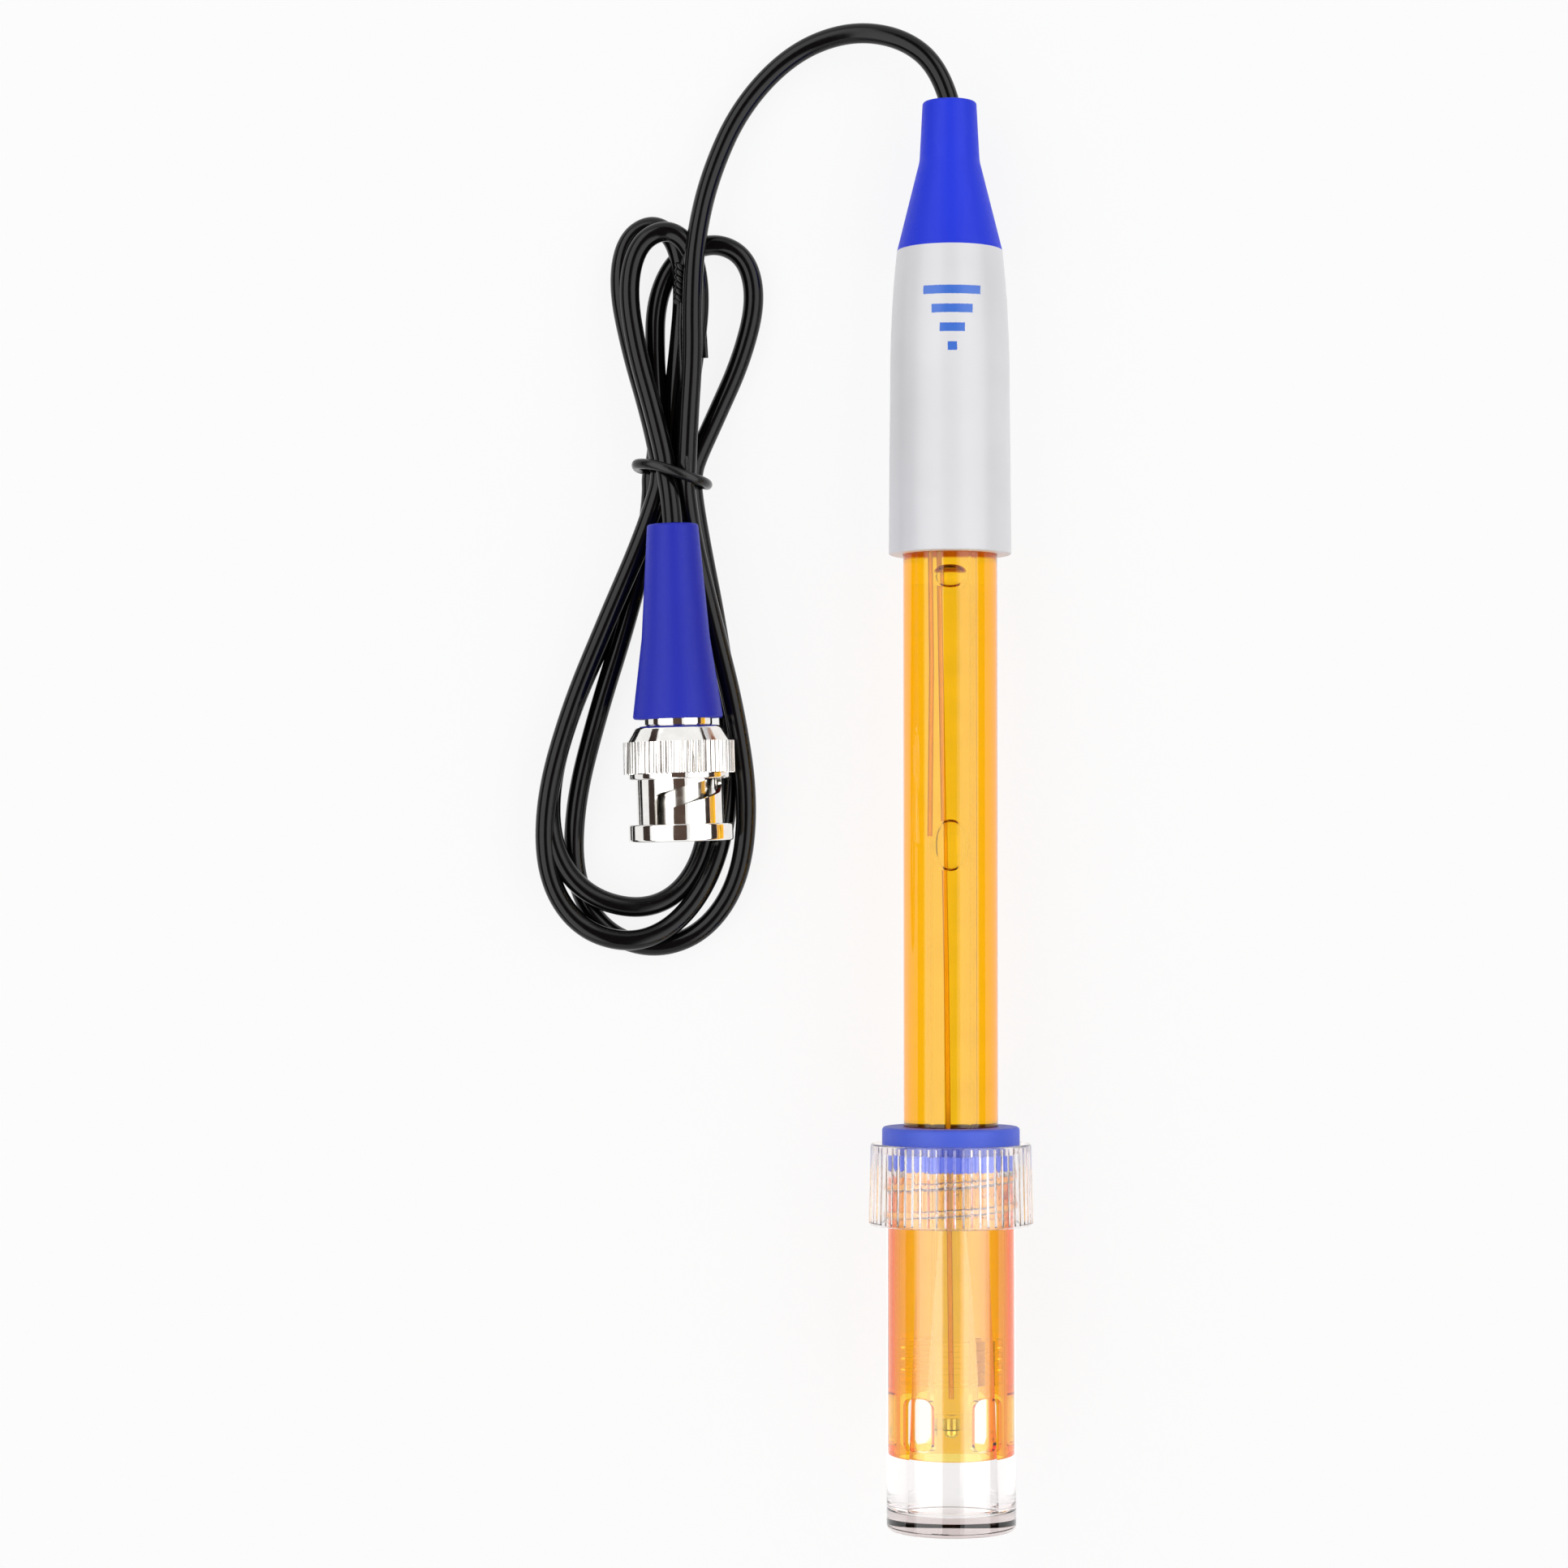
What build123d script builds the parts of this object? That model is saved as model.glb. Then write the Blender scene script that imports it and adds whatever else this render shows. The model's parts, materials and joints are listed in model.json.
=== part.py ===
from build123d import *
import math
import os

# Oxidation-reduction (ORP) probe of the pH probe family, lying on a bench.
# A 12 mm amber plastic body holds a glass stem with a platinum tip. Its tip stands
# in a clear storage bottle, and a moulded head carries the lead to a bayonet plug.
# Millimetres. World: X across, Y along the probe towards its lead, Z up, bench at Z 0.
# Each probe piece is turned about its own Z, which starts at the bottle's base.

# Clearances
glue_gap = 0.05
slide_gap = 0.05
seat_gap = 0.15
running_gap = 0.3

# Electrode body tube and the guard at its tip
body_diameter = 12.0
body_wall = 1.1
body_below_head = 114.4
body_in_head = 19.3
guard_ring = 1.0
guard_window_height = 6.7
guard_window_width = 4.0
guard_window_round = 1.2
guard_windows = 4
guard_shoulder = 1.5

# Plug that closes the tube above the guard, with its junction
plug_length = 5.6
plug_groove_depth = 0.4
plug_groove_width = 0.5
plug_grooves = 3
junction_diameter = 1.0
junction_offset = 3.4
junction_proud = 0.3

# Glass stem and its platinum tip
stem_diameter = 5.0
stem_bore = 3.6
stem_below_plug = 5.8
stem_above_stopper = 3.0
stem_tip_share = 0.6
platinum_diameter = 1.4
platinum_proud = 0.9
platinum_depth = 1.6
platinum_round_share = 0.8

# Filling, stopper and wires
stopper_length = 6.0
stopper_above_head_edge = 2.5
gel_below_stopper = 6.5
wire_diameter = 0.5
signal_wire_clear = 0.35
signal_wire_above_tip = 4.0
reference_wire_offset = 3.3
reference_wire_clear = 0.2
reference_wire_angle = -135.0
reference_wire_reach = 36.0
reference_wire_kink = 0.4
reference_wire_bend = 15.0
signal_wire_bend = 20.0
splice_diameter = 3.4
splice_length = 9.0
splice_below_seat = 4.1
splice_wire_share = 0.28
splice_wire_depth = 0.4
splice_lead_depth = 0.5

# Head cap
head_radius_low = 7.83
head_radius_waist = 7.62
head_radius_top = 6.75
head_height = 38.9
head_waist_share = 0.62
head_top_wall = 4.0
head_edge_round = 0.25
boot_seat_diameter = 8.4

# Cable boot on the head
boot_cone_height = 11.6
boot_neck_height = 7.6
boot_neck_radius_low = 3.85
boot_neck_radius_top = 3.45
boot_blend = 4.0
boot_edge_round = 0.4

# Storage bottle
bottle_radius = 8.2
bottle_wall = 1.1
bottle_floor = 2.4
bottle_height = 45.4
bottle_foot_round = 0.7
bottle_floor_round = 0.8
tip_above_floor = 6.9

# Bottle nut, a clear ribbed cap with a hole
nut_height = 10.3
nut_wall = 1.2
nut_flare = 0.25
nut_top_wall = 1.25
nut_thread_gap = 0.8
nut_edge = 0.3
nut_ribs = 60
nut_rib_depth = 0.25
nut_rib_width = 0.7

# Blue seal ring, a spool that the nut squeezes on the bottle's rim
seal_top_radius = 8.74
seal_top_height = 2.1
seal_neck_radius = 7.0
seal_low_radius = 8.0
seal_low_height = 2.0
seal_edge_round = 0.45

# Lead
lead_diameter = 2.6
lead_bore_gap = 0.05

# Free stretch of the lead, from the boot's mouth over the bench to the hank
lead_route = [
    (-2.5, 97.1, 5.2),
    (-8.7, 100.3, 3.6),
    (-16.6, 99.6, 1.9),
    (-25.0, 93.4, 1.6),
    (-30.3, 84.6, 2.9),
    (-32.1, 75.0, 4.6),
]
lead_bend_share = 0.45
lead_in_hank = 0.6

# Hank of the lead, the outer shape of its loops as they lie on the bench
hank_lower_outline = [
    (-39.3, 43.0),
    (-42.9, 29.8),
    (-47.0, 21.0),
    (-50.7, 12.2),
    (-53.1, -1.0),
    (-49.7, -12.7),
    (-38.1, -18.2),
    (-28.0, -11.3),
    (-25.1, 2.0),
    (-27.1, 15.1),
    (-32.0, 43.0),
]
hank_lower_hole = [
    (-36.6, 33.0),
    (-41.7, 17.8),
    (-45.5, 9.0),
    (-47.4, -1.5),
    (-44.6, -9.3),
    (-38.6, -10.5),
    (-33.4, -6.6),
    (-32.2, 3.0),
    (-33.4, 18.0),
]
hank_upper_outline = [
    (-39.3, 43.0),
    (-40.4, 55.0),
    (-42.0, 67.0),
    (-38.6, 76.4),
    (-33.6, 74.4),
    (-26.8, 71.6),
    (-24.2, 63.5),
    (-27.4, 52.5),
    (-32.0, 43.0),
]
hank_upper_hole = [
    (-30.6, 69.8),
    (-28.4, 69.6),
    (-26.7, 64.6),
    (-28.4, 56.8),
    (-31.0, 51.0),
    (-31.3, 60.0),
]
hank_layers = 2
hank_neck_layers = 3
hank_layer_pitch = 2.25
hank_neck = (-39.3, -32.0)
hank_neck_ends = (37.6, 47.0)
hank_column = (-35.3, -31.6)
hank_column_ends = (37.6, 74.0)

# Tie round the hank's neck, an elastic cord
tie_diameter = 1.3
tie_place = 43.3
tie_slack = 0.1

# Where the plug lies, the mouth of its boot and how it is turned and tipped
plug_place = (-35.4, 36.7, 8.8)
plug_turn = 1.6
plug_tip_up = 0.4

# Bayonet plug, with heights from the mouth of its boot to its mating end
plug_boot_radius_mouth = 3.25
plug_boot_radius_waist = 4.35
plug_boot_radius_end = 5.78
plug_boot_waist = 14.5
plug_boot_waist_round = 8.0
plug_boot_length = 24.8
plug_boot_grip = 10.5
plug_boot_edge_round = 0.35
ferrule_radius = 2.9
ferrule_length = 9.0
tail_radius = 2.0
gland_radius = 4.34
gland_thread_radius = 3.6
gland_showing = 0.9
gland_round = 0.2
gland_in_boot = 2.3
body_neck_radius = 4.0
body_flange_radius = 4.75
body_flange_thickness = 0.8
coupling_travel = 1.0
lip_thickness = 1.5
lip_hole_gap = 0.15
washer_thickness = 0.5
washer_gap = 0.1
wave_height = 0.55
wave_wire = 0.28
waves = 3
wave_split = 12.0
wave_points = 8
contact_diameter = 8.1
contact_wall = 0.55
contact_seat = 0.6
contact_slots = 4
contact_slot_width = 0.5
contact_slot_length = 5.2
contact_below_mouth = 0.8
insulator_length = 4.4
pin_radius = 0.68
pin_shoulder_radius = 0.95
pin_showing = 4.4
pin_below_mouth = 1.8
pin_behind_insulator = 3.5
pin_gap = 0.04
pin_round_share = 0.75
gasket_thickness = 0.9

# Coupling nut of the plug
nut_rear_radius = 5.4
nut_rear_round = 0.8
nut_shoulder_radius = 6.55
nut_shoulder_height = 2.0
knurl_radius = 7.08
knurl_height = 4.1
knurl_teeth = 64
knurl_depth = 0.16
step_radius = 6.45
step_height = 0.7
step_round = 0.2
barrel_radius = 5.53
barrel_height = 5.7
flange_radius = 6.66
flange_height = 2.2
coupling_bore_radius = 4.9
coupling_edge = 0.3
bayonet_width = 2.2
bayonet_channel_radius = 5.95
bayonet_entry_angle = -23.0
bayonet_turn = 85.0
bayonet_rise = 2.0
bayonet_entry_depth = 5.1

# Places that follow from the sizes, along the probe
tip_z = bottle_floor + tip_above_floor
window_z = tip_z + guard_ring
plug_z = window_z + guard_window_height + guard_shoulder
plug_top = plug_z + plug_length
head_z = tip_z + body_below_head
tube_top = head_z + body_in_head
head_top = head_z + head_height
boot_top = head_top + boot_cone_height + boot_neck_height
stopper_z = head_z + stopper_above_head_edge
stopper_top = stopper_z + stopper_length
gel_top = stopper_z - gel_below_stopper
stem_z = plug_z - stem_below_plug
stem_top = stopper_top + stem_above_stopper
splice_z = head_top - head_top_wall - splice_below_seat - splice_length
seal_neck_z = bottle_height + seal_low_height
nut_top = seal_neck_z + seat_gap + nut_top_wall
nut_z = nut_top - nut_height
seal_top = nut_top + seal_top_height

# Radii that follow
body_radius = body_diameter / 2
body_bore = body_radius - body_wall
stem_radius = stem_diameter / 2
stem_bore_radius = stem_bore / 2
lead_radius = lead_diameter / 2
lead_bore = lead_radius + lead_bore_gap
wire_radius = wire_diameter / 2
platinum_radius = platinum_diameter / 2
junction_radius = junction_diameter / 2
bottle_bore = bottle_radius - bottle_wall
nut_bore = bottle_radius + nut_thread_gap
nut_radius_top = nut_bore + nut_wall
nut_radius_low = nut_radius_top + nut_flare
nut_hole = seal_neck_radius + slide_gap
seal_bore = body_radius + slide_gap
boot_seat_radius = boot_seat_diameter / 2
contact_radius = contact_diameter / 2

# Places along the plug
ferrule_z = plug_boot_length - gland_in_boot - ferrule_length
gland_z = plug_boot_length - gland_in_boot
coupling_z = plug_boot_length + gland_showing
washer_z = coupling_z + lip_thickness + slide_gap
wave_z = washer_z + washer_thickness + coupling_travel + slide_gap
body_flange_z = wave_z + wave_height + slide_gap
body_front = body_flange_z + body_flange_thickness
knurl_z = coupling_z + nut_shoulder_height
barrel_z = knurl_z + knurl_height + step_height
flange_z = barrel_z + barrel_height
mouth_z = flange_z + flange_height
contact_z = body_front - contact_seat
contact_end = mouth_z - contact_below_mouth
pin_end = mouth_z - pin_below_mouth


def turned(points, rounds=()):
    """Turn an outline of (radius, height) points about Z. rounds holds (point, radius) pairs."""
    face = make_face(Polyline(*points, close=True))
    for point, radius in rounds:
        corner = face.vertices().sort_by_distance((*points[point], 0))[0]
        face = fillet(corner, radius)
    return revolve(Plane.XZ * face, Axis.Z)


def tube(outer, inner, low, high):
    """Straight tube about Z."""
    return turned([(inner, low), (outer, low), (outer, high), (inner, high)])


def rod(radius, low, high):
    """Straight rod about Z."""
    return Pos(0, 0, low) * Cylinder(radius, high - low, align=(Align.CENTER, Align.CENTER, Align.MIN))


def around(count, piece):
    """Copies of a piece spaced evenly about Z."""
    return [Rot(0, 0, 360 / count * place) * piece for place in range(count)]


def wire_along(points, radius, bend):
    """Round wire along straight runs joined by arcs."""
    path = FilletPolyline(*points, radius=bend)
    return sweep(Plane(path @ 0, z_dir=path % 0) * Circle(radius), path)


# Electrode body


def body_tube():
    shell = tube(body_radius, body_bore, tip_z, tube_top)
    window = Rectangle(guard_window_width, guard_window_height)
    window = fillet(window.vertices(), guard_window_round)
    middle = window_z + guard_window_height / 2
    side = Plane(origin=(0, 0, middle), x_dir=(1, 0, 0), z_dir=(0, -1, 0))
    opening = extrude(side * window, body_diameter)
    return shell - around(guard_windows, Rot(0, 0, 45) * opening)


def tip_plug():
    rim = body_bore - glue_gap
    groove_pitch = plug_length / (plug_grooves + 1)
    outline = [(stem_radius + glue_gap, plug_z), (rim, plug_z)]
    for groove in range(1, plug_grooves + 1):
        low = plug_z + groove * groove_pitch - plug_groove_width / 2
        outline.append((rim, low))
        outline.append((rim - plug_groove_depth, low))
        outline.append((rim - plug_groove_depth, low + plug_groove_width))
        outline.append((rim, low + plug_groove_width))
    outline.append((rim, plug_top))
    outline.append((stem_radius + glue_gap, plug_top))
    hole = Pos(junction_offset, 0, 0) * rod(junction_radius, plug_z - 1, plug_top + 1)
    return turned(outline) - hole


def ceramic_junction():
    return Pos(junction_offset, 0, 0) * rod(junction_radius, plug_z - junction_proud, plug_top)


def glass_stem():
    wall = stem_radius - stem_bore_radius
    floor = stem_z + stem_radius * stem_tip_share
    outline = make_face(
        Polyline((0, stem_z), (platinum_radius, stem_z))
        + RadiusArc((platinum_radius, stem_z), (stem_radius, floor + wall), -stem_radius)
        + Polyline(
            (stem_radius, floor + wall),
            (stem_radius, stem_top),
            (stem_bore_radius, stem_top),
            (stem_bore_radius, floor + wall),
            (0, floor + wall / 2),
            (0, stem_z),
        )
    )
    stem = revolve(Plane.XZ * outline, Axis.Z)
    return stem - rod(platinum_radius, stem_z - 1, stem_z + platinum_depth)


def platinum_tip():
    low = stem_z - platinum_proud
    high = stem_z + platinum_depth
    shape = [(0, low), (platinum_radius, low), (platinum_radius, high), (0, high)]
    return turned(shape, rounds=[(1, platinum_radius * platinum_round_share)])


def signal_wire():
    low = stem_z + signal_wire_above_tip
    side = stem_bore_radius - wire_radius - signal_wire_clear
    join = splice_diameter * splice_wire_share
    points = [
        (0, 0, low),
        (-side / 3, 0, (low + head_z) / 2),
        (-side, 0, stem_top),
        (join / 2, 0, splice_z + splice_length * splice_wire_depth),
    ]
    return wire_along(points, wire_radius, signal_wire_bend)


def reference_points():
    turn = math.radians(reference_wire_angle)
    across = math.cos(turn)
    deep = math.sin(turn)
    far = reference_wire_offset
    near = stem_radius + wire_radius + reference_wire_clear
    join = splice_diameter * splice_wire_share
    return [
        (far * across, far * deep, head_z - reference_wire_reach),
        (near * across, near * deep, head_z - reference_wire_reach * reference_wire_kink),
        (far * across, far * deep, stem_top + wire_diameter * 2),
        (join * across, join * deep, splice_z + splice_length * splice_wire_depth),
    ]


def reference_wire():
    return wire_along(reference_points(), wire_radius, reference_wire_bend)


def stem_stopper():
    ring = tube(body_bore - glue_gap, stem_radius + glue_gap, stopper_z, stopper_top)
    return ring - wire_along(reference_points(), wire_radius + glue_gap, reference_wire_bend)


def reference_gel():
    column = tube(body_bore - glue_gap, stem_radius + glue_gap, plug_top + glue_gap, gel_top)
    return column - wire_along(reference_points(), wire_radius + glue_gap, reference_wire_bend)


def splice_sleeve():
    sleeve = rod(splice_diameter / 2, splice_z, splice_z + splice_length)
    middle = splice_z + splice_length * splice_lead_depth
    socket = rod(lead_bore, middle, splice_z + splice_length)
    return sleeve - socket - rod(lead_bore, splice_z - 1, middle)


# Head


def head_cap():
    waist = (head_radius_waist, head_z + head_height * head_waist_share)
    skirt = Line((head_radius_low, head_z), waist)
    shoulder = TangentArc(waist, (head_radius_top, head_top), tangent=skirt % 1)
    side = Line((head_radius_top, head_top), (0, head_top))
    base = Polyline((0, head_top), (0, head_z), (head_radius_low, head_z))
    face = make_face(skirt + shoulder + side + base)
    edge = face.vertices().sort_by_distance((head_radius_low, head_z, 0))[0]
    face = fillet(edge, head_edge_round)
    cap = revolve(Plane.XZ * face, Axis.Z)
    cap -= rod(body_radius + glue_gap, head_z - 1, tube_top)
    cap -= rod(body_bore, tube_top - 1, head_top - head_top_wall)
    return cap - rod(boot_seat_radius + glue_gap, head_top - head_top_wall - 1, head_top + 1)


def cable_boot():
    neck_z = head_top + boot_cone_height
    outline = [
        (0, head_top - head_top_wall),
        (boot_seat_radius, head_top - head_top_wall),
        (boot_seat_radius, head_top),
        (head_radius_top, head_top),
        (boot_neck_radius_low, neck_z),
        (boot_neck_radius_top, boot_top),
        (0, boot_top),
    ]
    boot = turned(outline, rounds=[(4, boot_blend), (5, boot_edge_round)])
    return boot - rod(lead_bore, head_top - head_top_wall - 1, boot_top + 1)


def lead_end():
    return rod(lead_radius, splice_z + splice_length * splice_lead_depth, boot_top)


# Storage bottle


def storage_bottle():
    outline = [
        (0, 0),
        (bottle_radius, 0),
        (bottle_radius, bottle_height),
        (bottle_bore, bottle_height),
        (bottle_bore, bottle_floor),
        (0, bottle_floor),
    ]
    return turned(outline, rounds=[(1, bottle_foot_round), (4, bottle_floor_round)])


def seal_ring():
    outline = [
        (seal_bore, bottle_height),
        (seal_low_radius, bottle_height),
        (seal_low_radius, seal_neck_z),
        (seal_neck_radius, seal_neck_z),
        (seal_neck_radius, nut_top),
        (seal_top_radius, nut_top),
        (seal_top_radius, seal_top),
        (seal_bore, seal_top),
    ]
    return turned(outline, rounds=[(6, seal_edge_round)])


def rib_notch(radius, height):
    """Section of the V between two ribs of the bottle nut."""
    half, outside = nut_rib_width / 2, radius + nut_rib_depth
    corners = [(radius - nut_rib_depth, 0), (outside, half), (outside, -half)]
    return make_face(Plane(origin=(0, 0, height)) * Polyline(*corners, close=True))


def bottle_nut():
    wall_z = nut_top - nut_top_wall
    outline = [
        (nut_bore, nut_z),
        (nut_radius_low, nut_z),
        (nut_radius_top, nut_top),
        (nut_hole, nut_top),
        (nut_hole, wall_z),
        (nut_bore, wall_z),
    ]
    nut = turned(outline, rounds=[(1, nut_edge), (2, nut_edge)])
    low = nut_z + nut_edge
    high = nut_top - nut_edge
    ends = [rib_notch(nut_radius_low, low), rib_notch(nut_radius_top, high)]
    groove = loft(ends, ruled=True)
    return nut - around(nut_ribs, groove)


# Bayonet plug


def plug_boot():
    outline = [
        (lead_bore, 0),
        (plug_boot_radius_mouth, 0),
        (plug_boot_radius_waist, plug_boot_waist),
        (plug_boot_radius_end, plug_boot_length),
        (gland_radius + glue_gap, plug_boot_length),
        (gland_radius + glue_gap, gland_z - glue_gap),
        (ferrule_radius + glue_gap, gland_z - glue_gap),
        (ferrule_radius + glue_gap, plug_boot_grip),
        (lead_bore, plug_boot_grip),
    ]
    rounds = [(1, plug_boot_edge_round), (2, plug_boot_waist_round), (3, plug_boot_edge_round)]
    return turned(outline, rounds=rounds)


def plug_lead_end():
    return rod(lead_radius, 0, gland_z)


def crimp_ferrule():
    return tube(ferrule_radius, tail_radius + glue_gap, ferrule_z, gland_z - glue_gap)


def gland_nut():
    outline = [
        (gland_thread_radius + glue_gap, gland_z),
        (gland_radius, gland_z),
        (gland_radius, coupling_z),
        (gland_thread_radius + glue_gap, coupling_z),
    ]
    return turned(outline, rounds=[(2, gland_round)])


def plug_body():
    outline = [
        (lead_bore, ferrule_z - 1),
        (tail_radius, ferrule_z - 1),
        (tail_radius, gland_z),
        (gland_thread_radius, gland_z),
        (gland_thread_radius, coupling_z + glue_gap),
        (body_neck_radius, coupling_z + glue_gap),
        (body_neck_radius, body_flange_z),
        (body_flange_radius, body_flange_z),
        (body_flange_radius, body_front),
        (contact_radius + glue_gap, body_front),
        (contact_radius + glue_gap, contact_z),
        (lead_bore, contact_z),
    ]
    return turned(outline)


def outer_contact():
    sleeve = tube(contact_radius, contact_radius - contact_wall, contact_z, contact_end)
    slot = Box(
        contact_diameter,
        contact_slot_width,
        contact_slot_length * 2,
        align=(Align.MIN, Align.CENTER, Align.CENTER),
    )
    return sleeve - around(contact_slots, Pos(0, 0, contact_end) * Rot(0, 0, 45) * slot)


def insulator():
    outer = contact_radius - contact_wall - glue_gap
    return tube(outer, pin_shoulder_radius + pin_gap, contact_z, contact_z + insulator_length)


def centre_pin():
    low = contact_z - pin_behind_insulator
    outline = [
        (0, low),
        (pin_shoulder_radius, low),
        (pin_shoulder_radius, pin_end - pin_showing),
        (pin_radius, pin_end - pin_showing),
        (pin_radius, pin_end),
        (0, pin_end),
    ]
    return turned(outline, rounds=[(4, pin_radius * pin_round_share)])


def gasket():
    high = body_front + gasket_thickness
    return tube(body_flange_radius, contact_radius + glue_gap, body_front, high)


def wave_spring():
    """Split ring of round wire with waves, so that it gives along its axis."""
    radius = (body_neck_radius + coupling_bore_radius) / 2
    swing = (wave_height - wave_wire) / 2
    middle = wave_z + wave_height / 2
    steps = waves * wave_points
    points = []
    for step in range(steps + 1):
        turn = math.radians(wave_split / 2 + (360 - wave_split) * step / steps)
        height = middle + swing * math.sin(waves * turn)
        points.append((radius * math.cos(turn), radius * math.sin(turn), height))
    path = Spline(*points)
    return sweep(Plane(path @ 0, z_dir=path % 0) * Circle(wave_wire / 2), path)


def thrust_washer():
    outer = coupling_bore_radius - washer_gap
    return tube(outer, body_neck_radius + washer_gap, washer_z, washer_z + washer_thickness)


def bayonet_slot():
    """One ramped slot, from a channel at the mouth to a round seat in the barrel."""
    start_z = mouth_z - bayonet_entry_depth
    seat_z = start_z - bayonet_rise
    seat_angle = 90 - bayonet_entry_angle - bayonet_turn
    channel = Pos(0, 0, start_z) * Box(
        bayonet_channel_radius,
        bayonet_width,
        bayonet_entry_depth + 1,
        align=(Align.MIN, Align.CENTER, Align.MIN),
    )
    corner = Pos(0, 0, start_z) * Rot(0, 90, 0) * rod(bayonet_width / 2, 0, barrel_radius * 1.2)
    seat = Pos(0, 0, seat_z) * Rot(0, 90, 0) * rod(bayonet_width / 2, 0, barrel_radius * 1.2)
    middle = (coupling_bore_radius + barrel_radius) / 2
    ramp = Helix(bayonet_rise * 360 / bayonet_turn, bayonet_rise, middle, center=(0, 0, seat_z))
    depth = (barrel_radius - coupling_bore_radius) * 2
    profile = Plane(ramp @ 0, x_dir=(1, 0, 0), z_dir=ramp % 0) * Rectangle(depth, bayonet_width)
    band = sweep(profile, ramp, is_frenet=True)
    turn = Rot(0, 0, bayonet_turn)
    return [Rot(0, 0, seat_angle) * part for part in (seat, band, turn * corner, turn * channel)]


def coupling_nut():
    outline = [
        (body_neck_radius + lip_hole_gap, coupling_z),
        (nut_rear_radius, coupling_z),
        (nut_shoulder_radius, knurl_z),
        (knurl_radius, knurl_z),
        (knurl_radius, knurl_z + knurl_height),
        (step_radius, knurl_z + knurl_height),
        (step_radius, barrel_z),
        (barrel_radius, barrel_z),
        (barrel_radius, flange_z),
        (flange_radius, flange_z),
        (flange_radius, mouth_z),
        (coupling_bore_radius, mouth_z),
        (coupling_bore_radius, coupling_z + lip_thickness),
        (body_neck_radius + lip_hole_gap, coupling_z + lip_thickness),
    ]
    rounds = [(1, nut_rear_round), (6, step_round), (9, step_round), (10, coupling_edge)]
    nut = turned(outline, rounds=rounds)
    side = knurl_depth * 2 * math.sqrt(2)
    tooth = Rot(0, 0, 45) * Box(side, side, knurl_height + slide_gap)
    nut -= around(knurl_teeth, Pos(knurl_radius + knurl_depth, 0, knurl_z + knurl_height / 2) * tooth)
    for turn in (0, 180):
        nut -= [Rot(0, 0, turn) * part for part in bayonet_slot()]
    return nut


# Where the probe and the plug lie


def lying_frame(length_shift=0.0):
    """Frame of the probe, lying on the bottle nut's upper edge and the head's lower edge."""
    low, high = nut_top - nut_edge, head_z + head_edge_round
    lean = math.atan2(nut_radius_top - head_radius_low, high - low)
    height = nut_radius_top * math.cos(lean) + low * math.sin(lean)
    return Plane(
        origin=(0, length_shift, height),
        x_dir=(1, 0, 0),
        z_dir=(0, math.cos(lean), -math.sin(lean)),
    )


def plug_frame():
    turn, tip = math.radians(plug_turn), math.radians(plug_tip_up)
    along = (math.sin(turn) * math.cos(tip), -math.cos(turn) * math.cos(tip), math.sin(tip))
    return Plane(origin=plug_place, x_dir=(math.cos(turn), math.sin(turn), 0), z_dir=along)


# Lead


def bend_radii(points):
    """Radius of each arc of a route, as large as its two runs allow."""
    radii = []
    for before, here, after in zip(points, points[1:], points[2:]):
        run_in, run_out = here - before, after - here
        turn = math.radians(run_in.get_angle(run_out))
        radii.append(lead_bend_share * min(run_in.length, run_out.length) / math.tan(turn / 2))
    return radii


def lead_tube(start):
    points = [Vector(*start)] + [Vector(*point) for point in lead_route]
    last = points[-1] - points[-2]
    points[-1] = points[-1] + last.normalized() * lead_in_hank
    radii = bend_radii(points)
    path = FilletPolyline(*points, radius=radii)
    cable = sweep(Plane(path @ 0, z_dir=path % 0) * Circle(lead_radius), path)
    print("lead bend radii", [round(radius, 1) for radius in radii])
    print("lead length", round(path.length, 1), "volume", round(cable.volume, 1))
    print("section times length", round(math.pi * lead_radius**2 * path.length, 1))
    return cable


def flat_outline(points):
    """Face inside a closed smooth outline that runs straight across its neck."""
    return make_face(Spline(*points) + Line(points[-1], points[0]))


def flat_hole(points):
    return make_face(Spline(*points, periodic=True))


def lead_hank(plug_room):
    low_top = lead_diameter + hank_layer_pitch * (hank_layers - 1)
    neck_top = tie_diameter + lead_diameter + hank_layer_pitch * (hank_neck_layers - 1)
    loops = flat_outline(hank_lower_outline) + flat_outline(hank_upper_outline)
    loops -= flat_hole(hank_lower_hole)
    loops -= flat_hole(hank_upper_hole)
    hank = extrude(loops, low_top)
    for side, ends in ((hank_neck, hank_neck_ends), (hank_column, hank_column_ends)):
        width, length = side[1] - side[0], ends[1] - ends[0]
        place = Pos(side[0] + width / 2, ends[0] + length / 2, 0)
        top = neck_top if side is hank_neck else neck_top - tie_diameter
        block = Box(width, length, top, align=(Align.CENTER, Align.CENTER, Align.MIN))
        block = fillet(block.edges().filter_by(Axis.Y).group_by(Axis.Z)[-1], lead_radius)
        hank += place * block
    width = hank_neck[1] - hank_neck[0]
    groove = Box(width * 2, tie_diameter * 2, tie_diameter, align=(Align.CENTER, Align.CENTER, Align.MIN))
    hank -= Pos(hank_neck[0] + width / 2, tie_place, 0) * groove
    return hank - plug_room - tie_ring(tie_diameter / 2 + tie_slack)


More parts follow.
